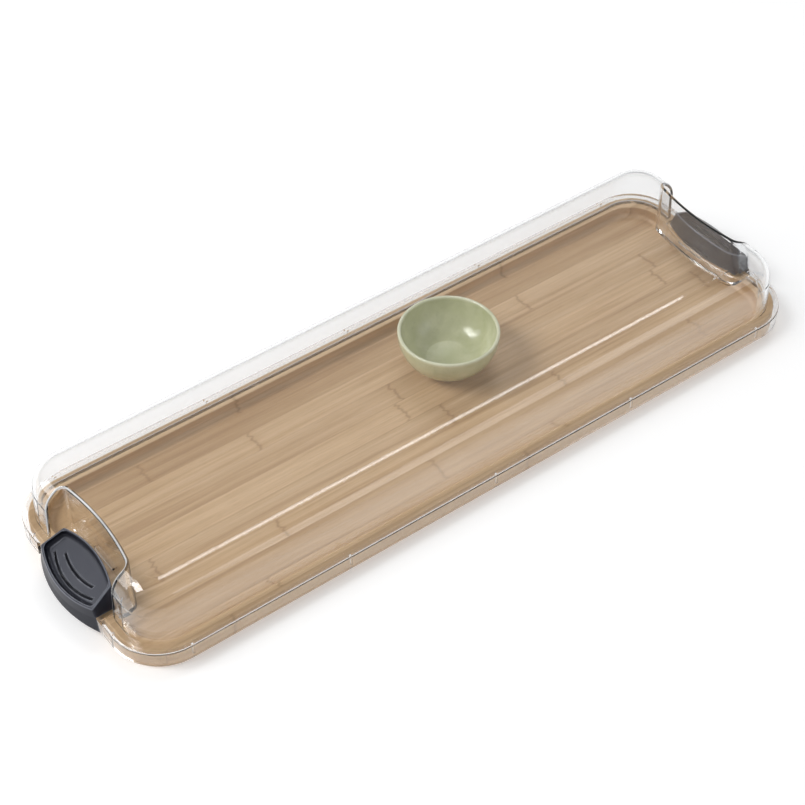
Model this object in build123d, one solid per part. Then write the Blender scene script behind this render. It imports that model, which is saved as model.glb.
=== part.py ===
# Covered serving board: bamboo tray, clear lid, two hinged latch handles and a
# loose dip bowl.  Millimetres.  +Z up, X along the length, -Y is the front.
# Origin: centre of the footprint on the surface the feet stand on.
import os
from math import cos, sin, tan, radians, atan, degrees, sqrt
from build123d import *

os.makedirs("parts", exist_ok=True)

# ---------------------------------------------------------------- dimensions
FOOT_H = 2.5            # foot pad height below the board
FOOT_R = 7.0

BOARD_L = 570.0         # bamboo board
BOARD_W = 176.0
BOARD_T = 14.0
BOARD_R = 33.5          # plan corner radius
BOARD_EDGE = 1.2        # rounding of the outer arrises
Z_BOARD0 = FOOT_H
Z_BOARD1 = FOOT_H + BOARD_T

REC_L = 548.0           # food recess
REC_W = 155.6
REC_R = 26.2
REC_D = 9.0
REC_COVE = 4.0          # cove between wall and floor
Z_FLOOR = Z_BOARD1 - REC_D

LID_L = 578.0           # over the skirt
LID_W = 184.2
LID_R = 37.5
LID_T = 2.4             # wall of the clear moulding
SKIRT_T = 2.2
SKIRT_H = 9.5           # skirt below the ledge underside
Z_LEDGE0 = Z_BOARD1     # ledge rests on the board rim
Z_LEDGE1 = Z_LEDGE0 + LID_T
Z_SKIRT0 = Z_LEDGE0 - SKIRT_H
DOME_INSET = 8.6        # ledge width outside the dome
DOME_R = 29.0
DOME_DRAFT = 3.0
DOME_TOP = 61.3
DOME_EDGE = 19.5        # roundover of the top edge

ALC_X = 260.2           # alcove back wall at y = 0
ALC_SAG = 4.6           # how far the back wall bows over the half width
ALC_Y = 42.0            # alcove half width
ALC_R = 5.0             # plan radius of the alcove's inner corners
NOTCH_Y = 39.5          # half width of the ledge cut-out
SKIRT_NOTCH_Y = 43.0    # half width of the skirt cut-out

RIB_PITCH = 124.0       # gussets along the long sides
RIB_T = 1.2

PIV_X = 288.7           # handle hinge axis
PIV_Z = 10.5
PIN_R = 1.5
BORE_R = 1.56
KNUCKLE_R = 3.3
BARREL_Y = 25.0         # half length of the bracket barrel
EAR_Y0 = 25.4
EAR_Y1 = 28.4

H_Z0 = 7.5              # handle: bottom edge of the outer wall
H_ZREF = 42.0           # height at which the upper outline is drawn
H_Y0 = 41.0             # half width at H_Z0
H_Y1 = 28.0             # half width at H_ZREF
H_WALL = 2.4
H_RIM_SLOPE = 0.55      # rim plane falls outward
H_RIM_Z = 26.0          # rim height at x = H_RIM_X
H_RIM_X = 290.0
H_SCOOP = 5.4           # scoop depth below the rim plane
H_SCOOP_R = 3.2         # cove round the scoop floor
H_GROOVE_W = 1.7        # finger grooves: width
H_GROOVE_D = 1.6        # depth below the scoop floor
H_GROOVE_LIP = 0.45     # small step along both edges of a groove
H_CORNER = 1.6          # upright corners
H_RIM_EDGE = 1.0        # outer rounding of the rim
H_BAND = 1.3            # width of the rim round the scoop
H_BOX_Z = 19.4          # underside of the part over the ledge

BOWL_X = 44.5
BOWL_Y = 25.5
BOWL_R = 37.8           # rim radius
BOWL_H = 33.0
BOWL_T = 3.0


def rrect(l, w, r):
    return RectangleRounded(l, w, r)


def slab(l, w, r, z0, z1, taper=0.0):
    return Pos(0, 0, z0) * extrude(rrect(l, w, r), z1 - z0, taper=taper)


def mirror_end(s):
    """Copy of a right-hand end piece at the left-hand end (a half turn)."""
    return s.rotate(Axis.Z, 180)


# ---------------------------------------------------------------- the board
board = slab(BOARD_L, BOARD_W, BOARD_R, Z_BOARD0, Z_BOARD1)
board = fillet(board.faces().sort_by(Axis.Z)[-1].edges()
               + board.faces().sort_by(Axis.Z)[0].edges(), BOARD_EDGE)
rec = slab(REC_L, REC_W, REC_R, Z_FLOOR, Z_BOARD1 + 5)
rec = fillet(rec.faces().sort_by(Axis.Z)[0].edges(), REC_COVE)
board = board - rec
rim_edges = [e for e in board.edges()
             if abs(e.bounding_box().min.Z - Z_BOARD1) < 0.01
             and abs(e.bounding_box().max.Z - Z_BOARD1) < 0.01
             and abs(e.center().X) < REC_L / 2 + 0.5
             and abs(e.center().Y) < REC_W / 2 + 0.5]
board = fillet(rim_edges, 0.8)

# rebate for the hinge bracket at each end: end face and underside
BR_X0 = 282.0           # inner face of the bracket's upright plate
BR_FOOT_X = 271.0
BR_FOOT_T = 2.0
BR_TOP = Z_BOARD1 - 1.0
reb = (Pos((BR_X0 + 300) / 2, 0, 10) * Box(300 - BR_X0, 2 * BARREL_Y, 40)
       + Pos((BR_FOOT_X + 300) / 2, 0, Z_BOARD0) * Box(300 - BR_FOOT_X, 2 * BARREL_Y, 2 * BR_FOOT_T))
screw_y = (-18.0, 0.0, 18.0)
SCREW_X = 278.0
pilots = [Pos(SCREW_X, y, Z_BOARD0 + 5.0) * Cylinder(1.25, 10.0) for y in screw_y]
for p in pilots:
    reb = reb + p
board = board - reb - mirror_end(reb)
board = board.solids()[0] if len(board.solids()) == 1 else board

# ---------------------------------------------------------------- hinge parts


def bracket_right():
    b = Pos((BR_X0 + 285) / 2, 0, (Z_BOARD0 + BR_TOP) / 2) * Box(285 - BR_X0, 2 * BARREL_Y, BR_TOP - Z_BOARD0)
    b = b + Pos((BR_FOOT_X + 285) / 2, 0, Z_BOARD0 + BR_FOOT_T / 2) * Box(285 - BR_FOOT_X, 2 * BARREL_Y, BR_FOOT_T)
    b = b + Pos((285 + PIV_X) / 2, 0, PIV_Z) * Box(PIV_X - 285, 2 * BARREL_Y, 5.0)
    b = b + Pos(PIV_X, 0, PIV_Z) * Rot(90, 0, 0) * Cylinder(KNUCKLE_R, 2 * BARREL_Y)
    # two windows lighten the barrel and leave three knuckles
    for y in (-12.0, 12.0):
        b = b - Pos(PIV_X + 0.6, y, PIV_Z) * Box(6.0, 11.0, 12.0)
    b = b - Pos(PIV_X, 0, PIV_Z) * Rot(90, 0, 0) * Cylinder(PIN_R, 4 * BARREL_Y)
    for y in screw_y:
        b = b - Pos(SCREW_X, y, Z_BOARD0) * Cylinder(1.7, 8)
        b = b - Pos(SCREW_X, y, Z_BOARD0 + 0.8) * Cone(2.9, 1.7, 1.6)
    return b


def pin_right():
    p = Pos(PIV_X, 0, PIV_Z) * Rot(90, 0, 0) * Cylinder(PIN_R, 2 * EAR_Y1)
    return chamfer(p.edges().filter_by(GeomType.CIRCLE), 0.25)


def screws_right():
    out = []
    for y in screw_y:
        s = Pos(SCREW_X, y, Z_BOARD0 + 0.8) * Cone(2.8, 1.6, 1.6)
        s = s + Pos(SCREW_X, y, Z_BOARD0 + 0.1 + 4.6) * Cylinder(1.25, 9.2)
        s = s - Pos(SCREW_X, y, Z_BOARD0) * Box(3.4, 0.6, 1.2)
        s = s - Pos(SCREW_X, y, Z_BOARD0) * Box(0.6, 3.4, 1.2)
        out.append(s.solids()[0] if hasattr(s, "solids") else s)
    return out


# ---------------------------------------------------------------- handles


def outline(z, d=0.0):
    """Closed barrel outline of the handle at height z, moved inward by d."""
    k = (z - H_Z0) / (H_ZREF - H_Z0)
    c0 = H_Y0 + (H_Y1 - H_Y0) * k
    c = c0 - d
    q = (c / c0) ** 2
    b0 = 9.5 - 4.9 * k                  # bow of the outer wall
    bo = b0 * q + 0.06 * d
    xo = 289.0 + 1.8 * k + b0 - d - bo  # outer corner
    b1 = 7.6 - 2.6 * k                  # bow of the inner wall
    bi = b1 * q + 0.04 * d
    xi = 274.6 - 2.4 * k - b1 + d + bi  # inner corner
    w = Wire([
        ThreePointArc((xo, -c, z), (xo + bo, 0, z), (xo, c, z)),
        Line((xo, c, z), (xi, c, z)),
        ThreePointArc((xi, c, z), (xi - bi, 0, z), (xi, -c, z)),
        Line((xi, -c, z), (xo, -c, z)),
    ])
    return Face(w)


def barrel(d, z0, z1, r=0.0):
    """Solid between two outlines, its four upright corners rounded by r."""
    s = loft([outline(z0, d), outline(z1, d)], ruled=True)
    s = s.solids()[0]
    if r > 0:
        up = [e for e in s.edges() if e.bounding_box().size.Z > 0.9 * (z1 - z0)]
        s = fillet(up, r)
    return s


RIM_ANG = degrees(atan(H_RIM_SLOPE))


def above_plane(dz):
    """Half space above the rim plane lowered by dz."""
    b = Pos(0, 0, 50) * Box(160, 160, 100)
    return Pos(H_RIM_X, 0, H_RIM_Z - dz) * Rot(0, RIM_ANG, 0) * b


def handle_right():
    h = barrel(0.0, H_Z0, H_ZREF, H_CORNER) - above_plane(0.0)
    h = h.solids()[0]
    up = Axis((H_RIM_X, 0, 0), (sin(radians(RIM_ANG)), 0, cos(radians(RIM_ANG))))
    h = fillet(h.faces().sort_by(up)[-1].edges(), H_RIM_EDGE)
    # nothing under the box that sits over the ledge, inside the outer wall
    h = h - Pos(289.5 - 40, 0, H_BOX_Z - 25) * Box(80, 120, 50)
    # scoop
    sc = barrel(H_BAND, H_Z0, H_ZREF + 8, H_CORNER + 3.4) & above_plane(H_SCOOP)
    sc = sc.solids()[0]
    sc = fillet(sc.faces().sort_by(up)[0].edges(), H_SCOOP_R)
    h = h - sc
    # cored underside
    cav = barrel(H_WALL, H_Z0 - 4, H_ZREF) - above_plane(H_SCOOP + 2.6)
    h = h - cav
    # hinge ears
    ears = None
    for s in (-1, 1):
        ym = s * (EAR_Y0 + EAR_Y1) / 2
        t = EAR_Y1 - EAR_Y0
        e = Pos(PIV_X, ym, PIV_Z) * Rot(90, 0, 0) * Cylinder(KNUCKLE_R, t)
        e = e + (Pos((285.4 + 291.4) / 2, ym, (PIV_Z + 26) / 2) * Box(291.4 - 285.4, t, 26 - PIV_Z)
                 - above_plane(H_SCOOP + 1.0))
        h = h + e
    for s in (-1, 1):
        h = h - Pos(PIV_X, s * (EAR_Y0 + EAR_Y1) / 2, PIV_Z) * Rot(90, 0, 0) * Cylinder(BORE_R, 6.0)
    # latch nose on the inner wall
    h = h + Pos(267.35, 0, 21.4) * Box(1.4, 26, 2.4)
    # two curved finger grooves in the scoop floor
    for xm, xe, ye in ((290.2, 284.6, 25.0), (283.0, 280.2, 18.0)):
        for half, over, deep in ((H_GROOVE_W / 2, 0.0, H_GROOVE_D),
                                 (H_GROOVE_W / 2 + H_GROOVE_LIP, H_GROOVE_LIP, 0.4)):
            y1 = ye + over
            a = ThreePointArc((xe - half, -y1, 0), (xm - half, 0, 0), (xe - half, y1, 0))
            b = ThreePointArc((xe + half, -y1, 0), (xm + half, 0, 0), (xe + half, y1, 0))
            f = Face(Wire([a, Line(a @ 1, b @ 1), ThreePointArc(b @ 1, b @ 0.5, b @ 0), Line(b @ 0, a @ 0)]))
            h = h - (extrude(f, 60, dir=(0, 0, 1)) & above_plane(H_SCOOP + deep))
    return h


# ---------------------------------------------------------------- lid


def alcove_plan(d=0.0):
    """Plan of the space taken out of the dome at the right end, grown by d."""
    c = ALC_Y + d
    xm = ALC_X - d
    xe = ALC_X + ALC_SAG - d
    w = Wire([
        ThreePointArc((xe, -c, 0), (xm, 0, 0), (xe, c, 0)),
        Line((xe, c, 0), (330, c, 0)),
        Line((330, c, 0), (330, -c, 0)),
        Line((330, -c, 0), (xe, -c, 0)),
    ])
    f = Face(w)
    vs = [v for v in f.vertices() if v.X < 300]
    return fillet(vs, ALC_R + d)


def dome(d, top):
    l = LID_L - 2 * DOME_INSET - 2 * d
    w = LID_W - 2 * DOME_INSET - 2 * d
    s = Pos(0, 0, Z_LEDGE1) * extrude(rrect(l, w, DOME_R - d), top - Z_LEDGE1, taper=DOME_DRAFT)
    s = fillet(s.faces().sort_by(Axis.Z)[-1].edges(), DOME_EDGE - d)
    return s


def dome_cut(d, top, r):
    s = dome(d, top)
    a = Pos(0, 0, Z_LEDGE1 - 1) * extrude(alcove_plan(d), 80, dir=(0, 0, 1))
    s = s - a - mirror_end(a)
    if r > 0:
        es = [e for e in s.edges()
              if abs(e.center().X) > 252 and e.bounding_box().max.Z > Z_LEDGE1 + 4
              and abs(e.center().Y) < ALC_Y + d + 1.0
              and (e.bounding_box().min.Z > Z_LEDGE1 + 12 or abs(abs(e.center().X) - 280) < 4)]
        # only the edges where the alcove walls meet the dome's skin
        pick = []
        for e in es:
            bb = e.bounding_box()
            on_skin = bb.max.Z > top - 0.5 or bb.size.X > 2 or abs(e.center().X) > 276
            if on_skin:
                pick.append(e)
        try:
            s = fillet(pick, r)
        except Exception as ex:
            print("alcove edge fillet skipped", ex, len(pick))
    return s


outer = dome_cut(0.0, DOME_TOP, 1.6)
inner = dome_cut(LID_T, DOME_TOP - LID_T, 0.0)
ledge = slab(LID_L, LID_W, LID_R, Z_LEDGE0, Z_LEDGE1)
ledge = fillet(ledge.faces().sort_by(Axis.Z)[-1].edges(), 0.9)
lid = outer + ledge
# inside: dome cavity carried down through the ledge
low = Pos(0, 0, Z_LEDGE0 - 1) * extrude(
    rrect(LID_L - 2 * DOME_INSET - 2 * LID_T, LID_W - 2 * DOME_INSET - 2 * LID_T, DOME_R - LID_T),
    LID_T + 1.02)
alow = Pos(0, 0, Z_LEDGE0 - 2) * extrude(alcove_plan(LID_T), 6, dir=(0, 0, 1))
low = low - alow - mirror_end(alow)
lid = lid - inner - low
skirt = slab(LID_L, LID_W, LID_R, Z_SKIRT0, Z_LEDGE0) \
    - slab(LID_L - 2 * SKIRT_T, LID_W - 2 * SKIRT_T, LID_R - SKIRT_T, Z_SKIRT0 - 1, Z_LEDGE0 + 1)
lid = lid + skirt

# gussets inside the skirt
GAP = (LID_W - 2 * SKIRT_T - BOARD_W) / 2
for s in (-1, 1):
    for i in range(-2, 3):
        lid = lid + Pos(i * RIB_PITCH - 1.7, s * (LID_W / 2 - SKIRT_T - 0.5), Z_LEDGE0 - 3.7) * Box(RIB_T, 1.4, 7.4)
for sx in (-1, 1):
    for sy in (-1, 1):
        lid = lid + Pos(sx * (LID_L / 2 - SKIRT_T - 0.5), sy * 52.0, Z_LEDGE0 - 3.7) * Box(1.4, RIB_T, 7.4)

# ledge and skirt cut-outs for the handles
k19 = (Z_LEDGE1 - H_Z0) / (H_ZREF - H_Z0)
NX_C = 274.6 - 2.4 * k19 - 0.9
NX_M = NX_C - (7.6 - 2.6 * k19) + 0.2
nf = Face(Wire([
    ThreePointArc((NX_C, -NOTCH_Y, 0), (NX_M, 0, 0), (NX_C, NOTCH_Y, 0)),
    Line((NX_C, NOTCH_Y, 0), (320, NOTCH_Y, 0)),
    Line((320, NOTCH_Y, 0), (320, -NOTCH_Y, 0)),
    Line((320, -NOTCH_Y, 0), (NX_C, -NOTCH_Y, 0))]))
notch = Pos(0, 0, Z_SKIRT0 - 2) * extrude(nf, Z_LEDGE1 - Z_SKIRT0 + 2.5, dir=(0, 0, 1))
notch = notch + Pos(300, 0, (Z_SKIRT0 - 2 + Z_LEDGE0) / 2) * Box(30, 2 * SKIRT_NOTCH_Y, Z_LEDGE0 - Z_SKIRT0 + 2)
notch = notch + Pos(303.0 - 0.0, 0, 13) * Box(30, 2 * SKIRT_NOTCH_Y, 20)
lid = lid - notch - mirror_end(notch)
# catch ridge low on each alcove wall, facing the handle's nose
cr = Pos(ALC_X + 0.5, 0, 24.6) * Box(3.0, 24.0, 1.8)
lid = lid + cr + mirror_end(cr)

# ---------------------------------------------------------------- bowl
FOOT_RB = 21.0
with BuildPart() as bowl_b:
    with BuildSketch(Plane.XZ):
        with BuildLine():
            # outer profile, foot ring, then the inner profile back to the axis
            p0 = (0, 2.6)
            p1 = (FOOT_RB - 4.5, 2.6)
            p2 = (FOOT_RB - 3.6, 0.0)
            p3 = (FOOT_RB, 0.0)
            p4 = (FOOT_RB + 1.2, 2.4)
            Polyline(p0, p1, p2, p3, p4)
            ThreePointArc(p4, (32.9, 14.0), (BOWL_R - 0.2, BOWL_H - 1.6))
            ThreePointArc((BOWL_R - 0.2, BOWL_H - 1.6), (BOWL_R - 1.5, BOWL_H), (BOWL_R - 2.9, BOWL_H - 1.4))
            ThreePointArc((BOWL_R - 2.9, BOWL_H - 1.4), (29.3, 14.6), (16.0, 6.4))
            Line((16.0, 6.4), (0, 5.6))
            Line((0, 5.6), p0)
        make_face()
    revolve(axis=Axis.Z)
bowl = Pos(BOWL_X, BOWL_Y, Z_FLOOR) * bowl_b.part

# ---------------------------------------------------------------- feet


def foot(x, y):
    f = Pos(x, y, FOOT_H / 2) * Cylinder(FOOT_R, FOOT_H)
    return fillet(f.edges().filter_by(GeomType.CIRCLE).sort_by(Axis.Z)[0], 1.0)


feet = {
    "front_left_foot": foot(-245, -68), "front_right_foot": foot(245, -68),
    "back_left_foot": foot(-245, 68), "back_right_foot": foot(245, 68),
}

# ---------------------------------------------------------------- write out


def save(shape, name):
    sols = shape if isinstance(shape, list) else list(shape.solids())
    out = sols[0] if len(sols) == 1 else Compound(sols)
    out.label = name
    export_step(out, f"parts/{name}.step")
    print(name, len(sols), round(sum(s.volume for s in sols), 1))


hr = handle_right()
save(board, "bamboo_board")
save(lid, "lid")
save(hr, "right_handle")
save(mirror_end(hr), "left_handle")
br = bracket_right()
save(br, "right_hinge_bracket")
save(mirror_end(br), "left_hinge_bracket")
pr = pin_right()
save(pr, "right_hinge_pin")
save(mirror_end(pr), "left_hinge_pin")
sr = screws_right()
save(sr, "right_bracket_screws")
save([mirror_end(s) for s in sr], "left_bracket_screws")
save(bowl, "dip_bowl")
for n, f in feet.items():
    save(f, n)
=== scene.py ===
import math

import bpy
from mathutils import Matrix, Vector


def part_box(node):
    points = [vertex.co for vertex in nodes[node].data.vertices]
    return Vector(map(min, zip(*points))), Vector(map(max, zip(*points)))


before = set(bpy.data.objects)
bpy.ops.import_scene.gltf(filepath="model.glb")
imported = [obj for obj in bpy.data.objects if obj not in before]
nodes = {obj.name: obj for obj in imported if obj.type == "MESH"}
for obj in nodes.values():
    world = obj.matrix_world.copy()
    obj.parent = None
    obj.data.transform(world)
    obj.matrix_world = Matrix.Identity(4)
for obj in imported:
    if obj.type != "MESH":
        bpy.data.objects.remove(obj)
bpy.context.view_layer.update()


# ---------------------------------------------------------------- node helpers
class Tree:
    """A small writer for a material's node tree. Values are numbers, colours or sockets."""

    def __init__(self, name):
        self.mat = bpy.data.materials.new(name)
        self.mat.use_nodes = True
        self.nt = self.mat.node_tree
        self.nt.nodes.clear()
        self.out = self.nt.nodes.new("ShaderNodeOutputMaterial")
        self.coord = self.nt.nodes.new("ShaderNodeTexCoord")
        self.pos = self.coord.outputs["Object"]

    def put(self, socket, value):
        if value is None:
            return
        if isinstance(value, bpy.types.NodeSocket):
            self.nt.links.new(value, socket)
        else:
            socket.default_value = value

    def node(self, kind, inputs=None, **props):
        n = self.nt.nodes.new(kind)
        for k, v in props.items():
            setattr(n, k, v)
        for k, v in (inputs or {}).items():
            self.put(n.inputs[k], v)
        return n

    def math(self, op, a, b=None, c=None, clamp=False):
        n = self.nt.nodes.new("ShaderNodeMath")
        n.operation = op
        n.use_clamp = clamp
        self.put(n.inputs[0], a)
        self.put(n.inputs[1], b)
        self.put(n.inputs[2], c)
        return n.outputs[0]

    def split(self, vector):
        n = self.node("ShaderNodeSeparateXYZ", {0: vector})
        return n.outputs[0], n.outputs[1], n.outputs[2]

    def join(self, x, y, z):
        return self.node("ShaderNodeCombineXYZ", {0: x, 1: y, 2: z}).outputs[0]

    def scale(self, vector, factors, shift=(0.0, 0.0, 0.0)):
        n = self.node("ShaderNodeMapping", {"Vector": vector, "Scale": factors, "Location": shift})
        return n.outputs[0]

    def noise(self, vector, scale, detail=3.0, rough=0.55, distortion=0.0):
        n = self.node(
            "ShaderNodeTexNoise",
            {
                "Vector": vector,
                "Scale": scale,
                "Detail": detail,
                "Roughness": rough,
                "Distortion": distortion,
            },
        )
        return n.outputs["Fac"]

    def white(self, value):
        n = self.node("ShaderNodeTexWhiteNoise", noise_dimensions="1D")
        self.put(n.inputs["W"], value)
        return n.outputs["Value"]

    def ramp(self, fac, stops, smooth=False):
        n = self.node("ShaderNodeValToRGB", {"Fac": fac})
        cr = n.color_ramp
        if smooth:
            cr.interpolation = "EASE"
        while len(cr.elements) < len(stops):
            cr.elements.new(0.5)
        for e, (p, c) in zip(cr.elements, stops):
            e.position = p
            e.color = c if len(c) == 4 else (*c, 1.0)
        return n.outputs["Color"]

    def span(self, fac, lo, hi, to_lo=0.0, to_hi=1.0):
        n = self.node(
            "ShaderNodeMapRange",
            {"Value": fac, "From Min": lo, "From Max": hi, "To Min": to_lo, "To Max": to_hi},
        )
        n.clamp = True
        return n.outputs[0]

    def mix(self, fac, a, b, mode="MIX"):
        n = self.node("ShaderNodeMix", data_type="RGBA", blend_type=mode)
        self.put(n.inputs[0], fac)
        self.put(n.inputs[6], a if isinstance(a, bpy.types.NodeSocket) else (*a, 1.0)[:4])
        self.put(n.inputs[7], b if isinstance(b, bpy.types.NodeSocket) else (*b, 1.0)[:4])
        return n.outputs[2]

    def bump(self, height, strength, distance, normal=None):
        n = self.node("ShaderNodeBump", {"Height": height, "Strength": strength, "Distance": distance})
        if normal is not None:
            self.put(n.inputs["Normal"], normal)
        return n.outputs["Normal"]

    def edges(self, radius, low=0.02, high=0.25):
        """0 on open faces, 1 on sharp or tightly rounded edges."""
        bevel = self.node("ShaderNodeBevel", {"Radius": radius}, samples=4)
        geo = self.node("ShaderNodeNewGeometry")
        dot = self.node("ShaderNodeVectorMath", {0: bevel.outputs[0], 1: geo.outputs["Normal"]}, operation="DOT_PRODUCT")
        return self.span(self.math("SUBTRACT", 1.0, dot.outputs["Value"]), low, high)

    def surface(self, **values):
        n = self.nt.nodes.new("ShaderNodeBsdfPrincipled")
        for k, v in values.items():
            self.put(n.inputs[k.replace("_", " ")], v)
        return n

    def done(self, shader):
        self.nt.links.new(shader, self.out.inputs["Surface"])
        return self.mat


def rgb(*c):
    return (c[0], c[1], c[2], 1.0)


# ---------------------------------------------------------------- bamboo
def bamboo():
    t = Tree("bamboo_laminated")
    x, y, z = t.split(t.pos)
    strip_w = 0.0196
    # the board is glued up from strips that run the length of the tray
    row = t.math("DIVIDE", t.math("ADD", y, 0.3), strip_w)
    ident = t.math("FLOOR", row)
    across = t.math("FRACT", row)
    tone = t.white(ident)
    tone2 = t.white(t.math("ADD", ident, 37.3))
    # long fibres: each strip has its own stretch of grain
    shifted = t.join(t.math("ADD", x, t.math("MULTIPLY", tone, 3.1)), y, z)
    coarse = t.noise(t.scale(shifted, (5.0, 230.0, 230.0)), 1.0, 3.0, 0.6, 0.25)
    fine = t.noise(t.scale(shifted, (26.0, 1300.0, 1300.0)), 1.0, 2.0, 0.65)
    cloud = t.noise(t.scale(shifted, (4.0, 16.0, 16.0)), 1.0, 2.0, 0.5)
    dashes = t.noise(t.scale(shifted, (75.0, 2300.0, 2300.0)), 1.0, 1.0, 0.5)

    base = t.ramp(
        coarse,
        [
            (0.28, (0.465, 0.288, 0.145)),
            (0.45, (0.615, 0.410, 0.228)),
            (0.62, (0.690, 0.480, 0.283)),
            (0.80, (0.755, 0.552, 0.350)),
        ],
    )
    # strip to strip: some paler, some more caramel
    strip_tint = t.ramp(tone, [(0.0, (0.80, 0.745, 0.66)), (0.35, (0.93, 0.90, 0.85)), (0.7, (1.0, 1.0, 1.0)), (1.0, (1.06, 1.05, 1.02))])
    col = t.mix(1.0, base, strip_tint, "MULTIPLY")
    col = t.mix(t.span(cloud, 0.35, 0.7, 0.0, 0.20), col, (0.83, 0.62, 0.40))
    col = t.mix(t.span(fine, 0.40, 0.66, 0.26, 0.0), col, (0.40, 0.235, 0.115))
    col = t.mix(t.span(dashes, 0.62, 0.74, 0.0, 0.30), col, (0.33, 0.185, 0.085))
    # culm nodes: a thin darker band across a strip, every 20 to 30 cm, each strip at its own place
    wob = t.noise(t.scale(t.pos, (10.0, 260.0, 260.0)), 1.0, 2.0, 0.6)
    along = t.math(
        "FRACT",
        t.math(
            "ADD",
            t.math("DIVIDE", t.math("ADD", x, t.math("MULTIPLY", t.math("SUBTRACT", wob, 0.5), 0.010)), 0.245),
            t.math("MULTIPLY", tone2, 7.7),
        ),
    )
    off = t.math("ABSOLUTE", t.math("SUBTRACT", along, 0.5))
    ring = t.span(off, 0.0, 0.0075, 1.0, 0.0)
    halo = t.span(off, 0.0, 0.035, 1.0, 0.0)
    col = t.mix(t.math("MULTIPLY", halo, 0.22), col, (0.50, 0.30, 0.145))
    col = t.mix(t.math("MULTIPLY", ring, 0.50), col, (0.30, 0.165, 0.075))
    # glue lines between the strips
    line = t.math("ABSOLUTE", t.math("SUBTRACT", across, 0.5))
    glue = t.span(line, 0.482, 0.5, 0.0, 1.0)
    col = t.mix(t.math("MULTIPLY", glue, 0.42), col, (0.31, 0.17, 0.08))

    # end grain where the board's ends are cut across the fibres: dots of fibre bundles
    nrm = t.coord.outputs["Normal"]
    nx, ny, nz = t.split(nrm)
    end = t.span(t.math("ABSOLUTE", nx), 0.72, 0.92)
    vor = t.node("ShaderNodeTexVoronoi", {"Vector": t.scale(t.pos, (40.0, 1500.0, 1500.0)), "Scale": 1.0, "Randomness": 0.9})
    dots = t.span(vor.outputs["Distance"], 0.12, 0.42, 1.0, 0.0)
    endcol = t.mix(t.math("MULTIPLY", dots, 0.6), (0.56, 0.37, 0.20), (0.27, 0.145, 0.065))
    endcol = t.mix(1.0, endcol, strip_tint, "MULTIPLY")
    endcol = t.mix(t.math("MULTIPLY", glue, 0.5), endcol, (0.24, 0.13, 0.06))
    col = t.mix(end, col, endcol)

    # edges that hands and washing have rubbed a little paler; painted shade darkens the steep faces between about 7
    # and 11.5 mm up, at the foot of the recess walls
    edge_mask = t.edges(0.0018, 0.03, 0.30)
    smudge = t.noise(t.pos, 34.0, 3.0, 0.6)
    col = t.mix(t.math("MULTIPLY", edge_mask, t.span(smudge, 0.35, 0.65, 0.10, 0.42)), col, (0.82, 0.64, 0.43))
    # painted shade: steep faces low on the recess walls are darkened towards the recess floor
    low = t.math("MULTIPLY", t.span(z, 0.0072, 0.0115, 1.0, 0.0), t.span(t.math("ABSOLUTE", nz), 0.2, 0.9, 1.0, 0.0))
    col = t.mix(t.math("MULTIPLY", low, 0.18), col, (0.36, 0.21, 0.11))
    # faint knife marks and stains on the recess floor
    cuts = t.noise(t.scale(t.pos, (210.0, 900.0, 1.0), (0.3, 0.1, 0.0)), 1.0, 0.0, 0.0, 1.2)
    stain = t.noise(t.pos, 17.0, 3.0, 0.55, 0.6)
    floor_only = t.span(z, 0.0074, 0.0078, 1.0, 0.0)
    col = t.mix(t.math("MULTIPLY", floor_only, t.span(stain, 0.52, 0.72, 0.0, 0.14)), col, (0.50, 0.31, 0.16))

    height = t.math("ADD", t.math("MULTIPLY", fine, 0.6), t.math("MULTIPLY", dashes, 0.4))
    height = t.math("SUBTRACT", height, t.math("MULTIPLY", glue, 0.9))
    height = t.math("SUBTRACT", height, t.math("MULTIPLY", ring, 0.35))
    height = t.math("SUBTRACT", height, t.math("MULTIPLY", floor_only, t.span(cuts, 0.63, 0.68, 0.0, 0.5)))
    normal = t.bump(height, 0.45, 0.00018)
    rough = t.span(coarse, 0.3, 0.75, 0.52, 0.40)
    rough = t.math("ADD", rough, t.span(smudge, 0.3, 0.7, -0.05, 0.07))
    rough = t.math("ADD", rough, t.math("MULTIPLY", end, 0.10))
    s = t.surface(Base_Color=col, Roughness=rough, Normal=normal)
    s.inputs["IOR"].default_value = 1.46
    s.inputs["Specular IOR Level"].default_value = 0.42
    s.inputs["Coat Weight"].default_value = 0.10
    s.inputs["Coat Roughness"].default_value = 0.34
    return t.done(s.outputs[0])


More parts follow.
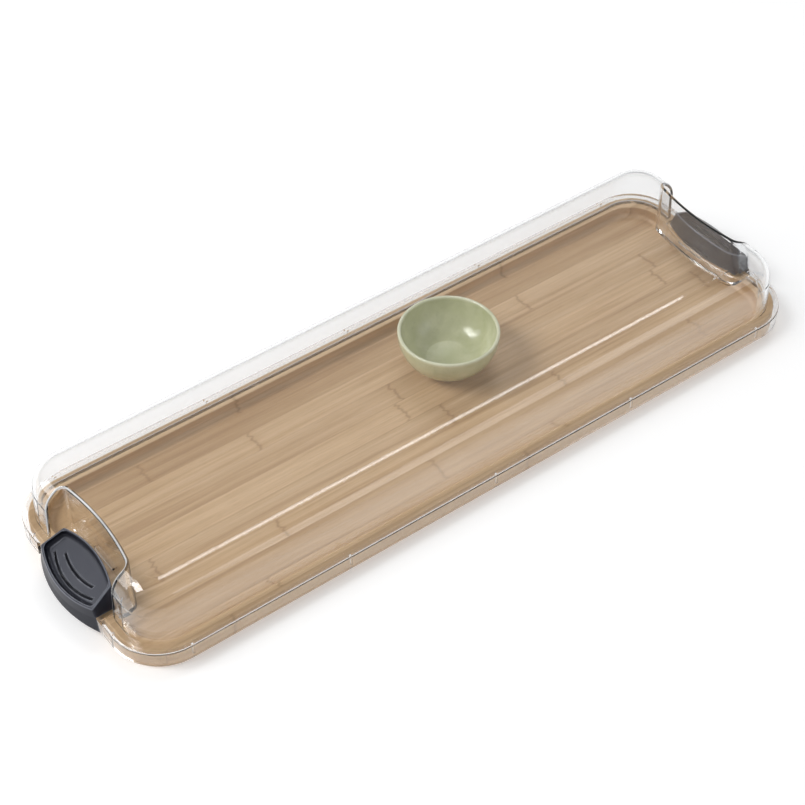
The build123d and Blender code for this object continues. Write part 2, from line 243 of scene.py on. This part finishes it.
# ---------------------------------------------------------------- clear lid
def clear_lid():
    t = Tree("clear_moulded_plastic")
    # slow moulding waves, a fine haze of washing marks and a few hairline scratches
    wave = t.noise(t.scale(t.pos, (9.0, 14.0, 14.0)), 1.0, 1.0, 0.4)
    n1 = t.bump(wave, 0.30, 0.00025)
    scuff = t.noise(t.scale(t.pos, (55.0, 900.0, 900.0), (0.7, 0.2, 0.5)), 1.0, 1.0, 0.5, 1.6)
    hair = t.span(scuff, 0.745, 0.775, 0.0, 1.0)
    scuff2 = t.noise(t.scale(t.pos, (700.0, 90.0, 500.0), (0.1, 0.9, 0.4)), 1.0, 1.0, 0.5, 1.1)
    hair2 = t.span(scuff2, 0.755, 0.785, 0.0, 1.0)
    haze = t.noise(t.pos, 30.0, 3.0, 0.6)
    marks = t.math("MAXIMUM", hair, hair2)
    normal = t.bump(marks, 0.05, 0.00003, n1)
    rough = t.math("ADD", t.span(haze, 0.35, 0.7, 0.012, 0.036), t.math("MULTIPLY", marks, 0.10))
    tint = t.mix(t.span(haze, 0.3, 0.7, 0.0, 1.0), (0.975, 0.982, 0.985), (0.985, 0.988, 0.990))
    # painted highlight: the tight rounding where the alcove walls meet the dome is painted as a whiter, less clear
    # line that stands in for a lamp's reflection;
    # distance in plan from the alcove's outline, on the dome's side
    x, y, z = t.split(t.pos)
    ay = t.math("ABSOLUTE", y)
    bow = t.math("ADD", 0.2602, t.math("MULTIPLY", t.math("MULTIPLY", ay, ay), 2.6077))
    qx = t.math("ADD", t.math("SUBTRACT", bow, t.math("ABSOLUTE", x)), 0.0050)
    qy = t.math("ADD", t.math("SUBTRACT", ay, 0.0420), 0.0050)
    px = t.math("MAXIMUM", qx, 0.0)
    py = t.math("MAXIMUM", qy, 0.0)
    reach = t.math("SQRT", t.math("ADD", t.math("MULTIPLY", px, px), t.math("MULTIPLY", py, py)))
    dist = t.math("SUBTRACT", t.math("ADD", reach, t.math("MINIMUM", t.math("MAXIMUM", qx, qy), 0.0)), 0.0050)
    alcove_edge_highlight = t.math("MULTIPLY", t.span(dist, 0.00015, 0.00045), t.span(dist, 0.0016, 0.0012))
    alcove_edge_highlight = t.math("MULTIPLY", alcove_edge_highlight, t.span(z, 0.0200, 0.0230))
    nx, ny, nz = t.split(t.coord.outputs["Normal"])
    beyond = t.span(t.math("ABSOLUTE", x), 0.2697, 0.2707)
    alcove_edge_highlight = t.math("MULTIPLY", alcove_edge_highlight, t.math("MAXIMUM", t.span(nz, 0.06, 0.16), beyond))
    alcove_edge_highlight = t.math("MULTIPLY", alcove_edge_highlight, t.span(haze, 0.3, 0.65, 0.62, 0.95))
    # painted highlight: whiter, less transparent glass along the alcove's top edge
    tint = t.mix(alcove_edge_highlight, tint, (0.96, 0.965, 0.97))
    rough = t.math("ADD", rough, t.math("MULTIPLY", alcove_edge_highlight, 0.22))
    s = t.surface(Base_Color=tint, Roughness=rough, Normal=normal)
    t.put(s.inputs["Transmission Weight"], t.span(alcove_edge_highlight, 0.0, 1.0, 1.0, 0.25))
    s.inputs["IOR"].default_value = 1.50
    # light on its way to or from what is under the lid goes straight through, nearly unweakened
    clear = t.node("ShaderNodeBsdfTransparent", {"Color": rgb(0.955, 0.96, 0.962)})
    path = t.node("ShaderNodeLightPath")
    soft = t.node("ShaderNodeMixShader")
    t.nt.links.new(path.outputs["Is Diffuse Ray"], soft.inputs[0])
    t.nt.links.new(s.outputs[0], soft.inputs[1])
    t.nt.links.new(clear.outputs[0], soft.inputs[2])
    mixer = t.node("ShaderNodeMixShader")
    t.nt.links.new(path.outputs["Is Shadow Ray"], mixer.inputs[0])
    t.nt.links.new(soft.outputs[0], mixer.inputs[1])
    t.nt.links.new(clear.outputs[0], mixer.inputs[2])
    return t.done(mixer.outputs[0])


# ---------------------------------------------------------------- black plastics
def black(name, base, lift, rough_lo, rough_hi, grain_scale, grain, wear_and_highlight_amount, slots=False):
    t = Tree(name)
    grainy = t.noise(t.pos, grain_scale, 2.0, 0.6)
    vor = t.node("ShaderNodeTexVoronoi", {"Vector": t.pos, "Scale": grain_scale * 0.55, "Randomness": 1.0}, feature="SMOOTH_F1")
    pits = vor.outputs["Distance"]
    smear = t.noise(t.pos, 42.0, 4.0, 0.6, 0.5)
    rub = t.noise(t.scale(t.pos, (420.0, 60.0, 420.0), (0.2, 0.4, 0.0)), 1.0, 2.0, 0.6, 0.8)
    scratch = t.span(rub, 0.67, 0.72, 0.0, 1.0)
    # edges are painted lighter: partly rubbed wear, partly a painted highlight along the edges
    edge_mask = t.edges(0.0013, 0.015, 0.17)
    edge_wear_and_highlight = t.math("MULTIPLY", edge_mask, t.span(t.noise(t.pos, 160.0, 3.0, 0.65), 0.36, 0.62, 0.25, 1.0))
    col = t.mix(t.span(smear, 0.35, 0.68, 0.0, 1.0), base, lift)
    col = t.mix(t.math("MULTIPLY", scratch, 0.30), col, tuple(min(1.0, 2.4 * v) for v in lift))
    col = t.mix(t.math("MULTIPLY", edge_wear_and_highlight, wear_and_highlight_amount), col, (0.27, 0.28, 0.31))
    rough = t.span(smear, 0.3, 0.7, rough_lo, rough_hi)
    gloss = None
    if slots:
        # the floors of the two finger grooves are painted near-black as shade and made matt: deeper below the
        # sloping rim than the scoop's floor, and facing the same way as it
        x, y, z = t.split(t.pos)
        slope = math.atan(0.55)
        ax = t.math("ABSOLUTE", x)
        below = t.math(
            "MULTIPLY",
            t.math("ADD", t.math("SUBTRACT", z, 0.026), t.math("MULTIPLY", t.math("SUBTRACT", ax, 0.290), 0.55)),
            -math.cos(slope),
        )
        nx, ny, nz = t.split(t.coord.outputs["Normal"])
        side = t.math("SIGN", x)
        facing = t.math(
            "ADD",
            t.math("MULTIPLY", t.math("MULTIPLY", nx, side), math.sin(slope)),
            t.math("MULTIPLY", nz, math.cos(slope)),
        )
        groove_floor_shade = t.math("MULTIPLY", t.span(below, 0.0060, 0.0062), t.span(facing, 0.5, 0.8))
        col = t.mix(t.math("MULTIPLY", groove_floor_shade, 0.9), col, (0.0025, 0.0025, 0.003))
        rough = t.math("ADD", rough, t.math("MULTIPLY", groove_floor_shade, 0.5))
        # painted highlight: the rounding round the outside of the rim is painted lighter
        rim_edge_highlight = t.math("MULTIPLY", t.span(below, 0.0010, 0.0004), t.span(facing, 0.990, 0.900))
        rim_edge_highlight = t.math("MULTIPLY", rim_edge_highlight, t.span(smear, 0.3, 0.65, 0.45, 0.85))
        col = t.mix(rim_edge_highlight, col, (0.24, 0.25, 0.29))
        gloss = t.span(groove_floor_shade, 0.0, 1.0, 0.33, 0.04)
    rough = t.math("SUBTRACT", rough, t.math("MULTIPLY", edge_wear_and_highlight, 0.10))
    rough = t.math("ADD", rough, t.math("MULTIPLY", scratch, 0.12))
    h = t.math("ADD", t.math("MULTIPLY", grainy, 0.5), t.math("MULTIPLY", pits, 0.5))
    normal = t.bump(h, grain, 0.00006)
    normal = t.bump(t.noise(t.pos, 70.0, 1.0, 0.4), 0.10, 0.0004, normal)
    s = t.surface(Base_Color=col, Roughness=rough, Normal=normal)
    s.inputs["IOR"].default_value = 1.52
    s.inputs["Specular Tint"].default_value = rgb(0.86, 0.89, 1.0)
    if gloss is not None:
        t.put(s.inputs["Specular IOR Level"], gloss)
    s.inputs["Sheen Weight"].default_value = 0.03
    s.inputs["Sheen Roughness"].default_value = 0.45
    s.inputs["Sheen Tint"].default_value = rgb(0.80, 0.84, 1.0)
    return t.done(s.outputs[0])


# ---------------------------------------------------------------- steel
def steel(name, low, high, rough, along, bump_strength):
    t = Tree(name)
    fine = t.noise(t.scale(t.pos, along), 1.0, 2.0, 0.6)
    tarnish = t.noise(t.pos, 260.0, 4.0, 0.6)
    col = t.mix(t.span(fine, 0.35, 0.65), low, high)
    col = t.mix(t.span(tarnish, 0.58, 0.75, 0.0, 0.45), col, (0.30, 0.27, 0.23))
    r = t.math("ADD", t.span(fine, 0.3, 0.7, rough - 0.06, rough + 0.08), t.span(tarnish, 0.5, 0.75, 0.0, 0.16))
    normal = t.bump(fine, bump_strength, 0.00004)
    s = t.surface(Base_Color=col, Roughness=r, Normal=normal)
    s.inputs["Metallic"].default_value = 1.0
    return t.done(s.outputs[0])


# ---------------------------------------------------------------- rubber feet
def rubber():
    t = Tree("grey_rubber")
    grit = t.noise(t.pos, 2600.0, 3.0, 0.65)
    dust = t.noise(t.pos, 190.0, 4.0, 0.6)
    x, y, z = t.split(t.pos)
    foot = t.span(z, 0.0, 0.0012, 1.0, 0.0)
    col = t.mix(t.span(dust, 0.40, 0.70), (0.045, 0.045, 0.047), (0.085, 0.083, 0.080))
    col = t.mix(t.math("MULTIPLY", foot, t.span(dust, 0.35, 0.65, 0.15, 0.55)), col, (0.20, 0.19, 0.175))
    normal = t.bump(grit, 0.5, 0.00005)
    s = t.surface(Base_Color=col, Roughness=t.span(grit, 0.3, 0.7, 0.72, 0.90), Normal=normal)
    s.inputs["Specular IOR Level"].default_value = 0.3
    return t.done(s.outputs[0])


# ---------------------------------------------------------------- bowl glaze
def glaze():
    t = Tree("sage_glazed_stoneware")
    x, y, z = t.split(t.pos)
    lo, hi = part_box("dip_bowl")
    z0, z1 = lo.z, hi.z
    cloud = t.noise(t.pos, 62.0, 4.0, 0.55, 0.4)
    speck = t.node("ShaderNodeTexVoronoi", {"Vector": t.pos, "Scale": 620.0, "Randomness": 1.0})
    pick = t.node("ShaderNodeTexWhiteNoise", {"Vector": speck.outputs["Position"]}, noise_dimensions="3D")
    iron = t.math("MULTIPLY", t.span(speck.outputs["Distance"], 0.10, 0.24, 1.0, 0.0), t.span(pick.outputs["Value"], 0.80, 0.82))
    runs = t.noise(t.scale(t.pos, (150.0, 150.0, 26.0)), 1.0, 3.0, 0.6)
    col = t.mix(t.span(cloud, 0.34, 0.68), (0.530, 0.540, 0.310), (0.665, 0.665, 0.430))
    col = t.mix(t.span(runs, 0.40, 0.72, 0.0, 0.30), col, (0.455, 0.475, 0.255))
    # the glaze breaks paler over the lip and pools deeper towards the foot
    lip = t.span(z, z1 - 0.0030, z1 - 0.0004)
    col = t.mix(t.math("MULTIPLY", lip, t.span(cloud, 0.3, 0.7, 0.45, 0.85)), col, (0.790, 0.775, 0.570))
    pool = t.span(z, z0 + 0.002, z0 + 0.012, 1.0, 0.0)
    col = t.mix(t.math("MULTIPLY", pool, 0.45), col, (0.370, 0.385, 0.195))
    col = t.mix(t.math("MULTIPLY", iron, 0.45), col, (0.155, 0.120, 0.060))
    # bare clay under the foot
    edge = t.math("ADD", z, t.math("MULTIPLY", t.math("SUBTRACT", cloud, 0.5), 0.0009))
    bare = t.span(edge, z0 + 0.0012, z0 + 0.0016, 1.0, 0.0)
    clay = t.mix(t.span(t.noise(t.pos, 900.0, 3.0, 0.7), 0.35, 0.65), (0.42, 0.31, 0.205), (0.55, 0.43, 0.30))
    col = t.mix(bare, col, clay)
    orange = t.noise(t.pos, 240.0, 2.0, 0.5)
    grit = t.noise(t.pos, 2400.0, 2.0, 0.6)
    h = t.math("ADD", t.math("MULTIPLY", orange, 0.8), t.math("MULTIPLY", t.math("MULTIPLY", grit, bare), 0.6))
    h = t.math("SUBTRACT", h, t.math("MULTIPLY", iron, 0.25))
    normal = t.bump(h, 0.22, 0.00025)
    rough = t.math("ADD", t.span(cloud, 0.3, 0.7, 0.16, 0.25), t.math("MULTIPLY", bare, 0.55))
    s = t.surface(Base_Color=col, Roughness=rough, Normal=normal)
    s.inputs["IOR"].default_value = 1.52
    s.inputs["Coat Weight"].default_value = 0.35
    s.inputs["Coat Roughness"].default_value = 0.08
    return t.done(s.outputs[0])


def paint(name, mat):
    me = nodes[name].data
    me.materials.clear()
    me.materials.append(mat)


m_bamboo = bamboo()
m_lid = clear_lid()
m_handle = black("satin_black_plastic", (0.0060, 0.0064, 0.0115), (0.0105, 0.0112, 0.0195), 0.30, 0.40, 2300.0, 0.28, 0.60, slots=True)
m_bracket = black("matt_black_bracket", (0.016, 0.016, 0.018), (0.026, 0.026, 0.029), 0.48, 0.60, 1700.0, 0.50, 0.25)
m_pin = steel("brushed_steel_pin", (0.50, 0.50, 0.51), (0.66, 0.66, 0.67), 0.27, (2600.0, 60.0, 2600.0), 0.35)
m_screw = steel("zinc_plated_screw", (0.47, 0.475, 0.49), (0.60, 0.605, 0.62), 0.34, (900.0, 900.0, 900.0), 0.30)
m_foot = rubber()
m_bowl = glaze()

paint("bamboo_board", m_bamboo)
paint("lid", m_lid)
for side in ("left", "right"):
    paint(side + "_handle", m_handle)
    paint(side + "_hinge_bracket", m_bracket)
    paint(side + "_hinge_pin", m_pin)
    paint(side + "_bracket_screws", m_screw)
    for row in ("front", "back"):
        paint(row + "_" + side + "_foot", m_foot)
paint("dip_bowl", m_bowl)


# ---------------------------------------------------------------- stage
scene = bpy.context.scene


def plane(name, cx, cy, z, sx, sy, mat):
    me = bpy.data.meshes.new(name)
    me.from_pydata(
        [(cx - sx, cy - sy, z), (cx + sx, cy - sy, z), (cx + sx, cy + sy, z), (cx - sx, cy + sy, z)],
        [],
        [(0, 1, 2, 3)],
    )
    ob = bpy.data.objects.new(name, me)
    scene.collection.objects.link(ob)
    me.materials.append(mat)
    return ob


t = Tree("studio_floor")
s = t.surface(
    Base_Color=t.mix(t.noise(t.pos, 3.0, 1.0, 0.5), (0.905, 0.905, 0.905), (0.925, 0.925, 0.925)),
    Roughness=0.75,
)
s.inputs["Specular IOR Level"].default_value = 0.1
s.inputs["Emission Color"].default_value = rgb(1.0, 1.0, 1.0)
s.inputs["Emission Strength"].default_value = 0.25
floor = plane("studio_floor", 0.0, 0.0, 0.0, 6.0, 6.0, t.done(s.outputs[0]))


def lamp(name, place, target, sx, sy, watts, colour=(1.0, 1.0, 1.0)):
    data = bpy.data.lights.new(name, "AREA")
    data.shape = "RECTANGLE"
    data.size = sx
    data.size_y = sy
    data.energy = watts
    data.color = colour
    ob = bpy.data.objects.new(name, data)
    scene.collection.objects.link(ob)
    place = Vector(place)
    ob.location = place
    ob.rotation_euler = (Vector(target) - place).to_track_quat("-Z", "Y").to_euler()
    return ob


# a tall soft box at the back left, a softer one above it, a weak fill from the front right,
# and a long narrow strip over the back
lamp("side_softbox", (-1.45, 1.15, 1.10), (0.0, 0.0, 0.03), 0.55, 1.8, 10.0, (0.99, 0.995, 1.0))
lamp("key_softbox", (-1.70, 0.75, 1.95), (0.0, 0.0, 0.02), 1.1, 0.9, 27.0, (1.0, 0.997, 0.99))
lamp("fill_softbox", (1.3, -1.9, 1.5), (0.0, 0.0, 0.02), 1.7, 1.2, 7.0, (0.985, 0.992, 1.0))
lamp("strip_light", (1.05, 1.10, 2.20), (1.05, -0.06, 0.06), 1.5, 0.42, 11.0)

world = bpy.data.worlds.new("studio")
scene.world = world
world.use_nodes = True
wn = world.node_tree
wn.nodes.clear()
wo = wn.nodes.new("ShaderNodeOutputWorld")
bg = wn.nodes.new("ShaderNodeBackground")
bg.inputs["Strength"].default_value = 0.50
tc = wn.nodes.new("ShaderNodeTexCoord")
sep = wn.nodes.new("ShaderNodeSeparateXYZ")
cr = wn.nodes.new("ShaderNodeValToRGB")
cr.color_ramp.elements[0].position = 0.74
cr.color_ramp.elements[0].color = (0.88, 0.885, 0.90, 1.0)
cr.color_ramp.elements[1].position = 0.86
cr.color_ramp.elements[1].color = (0.50, 0.502, 0.51, 1.0)
wn.links.new(tc.outputs["Generated"], sep.inputs[0])
wn.links.new(sep.outputs[2], cr.inputs["Fac"])
wn.links.new(cr.outputs["Color"], bg.inputs["Color"])
wn.links.new(bg.outputs[0], wo.inputs["Surface"])

scene.view_settings.view_transform = "Standard"
scene.view_settings.look = "None"
scene.view_settings.exposure = 0.0

# ---------------------------------------------------------------- camera, as the photograph was taken
cam_data = bpy.data.cameras.new("camera")
cam_data.sensor_width = 36.0
cam_data.lens = 86.174
cam_data.clip_start = 0.01
cam_data.clip_end = 50.0
cam = bpy.data.objects.new("camera", cam_data)
scene.collection.objects.link(cam)
right = (0.8041951, -0.59436329, 0.00159088)
up = (0.42288847, 0.57406016, 0.70115639)
back = (-0.41765487, -0.56319377, 0.71300574)
cam.matrix_world = Matrix(
    (
        (right[0], up[0], back[0], -0.59136),
        (right[1], up[1], back[1], -0.77552),
        (right[2], up[2], back[2], 1.00522),
        (0.0, 0.0, 0.0, 1.0),
    )
)
scene.camera = cam
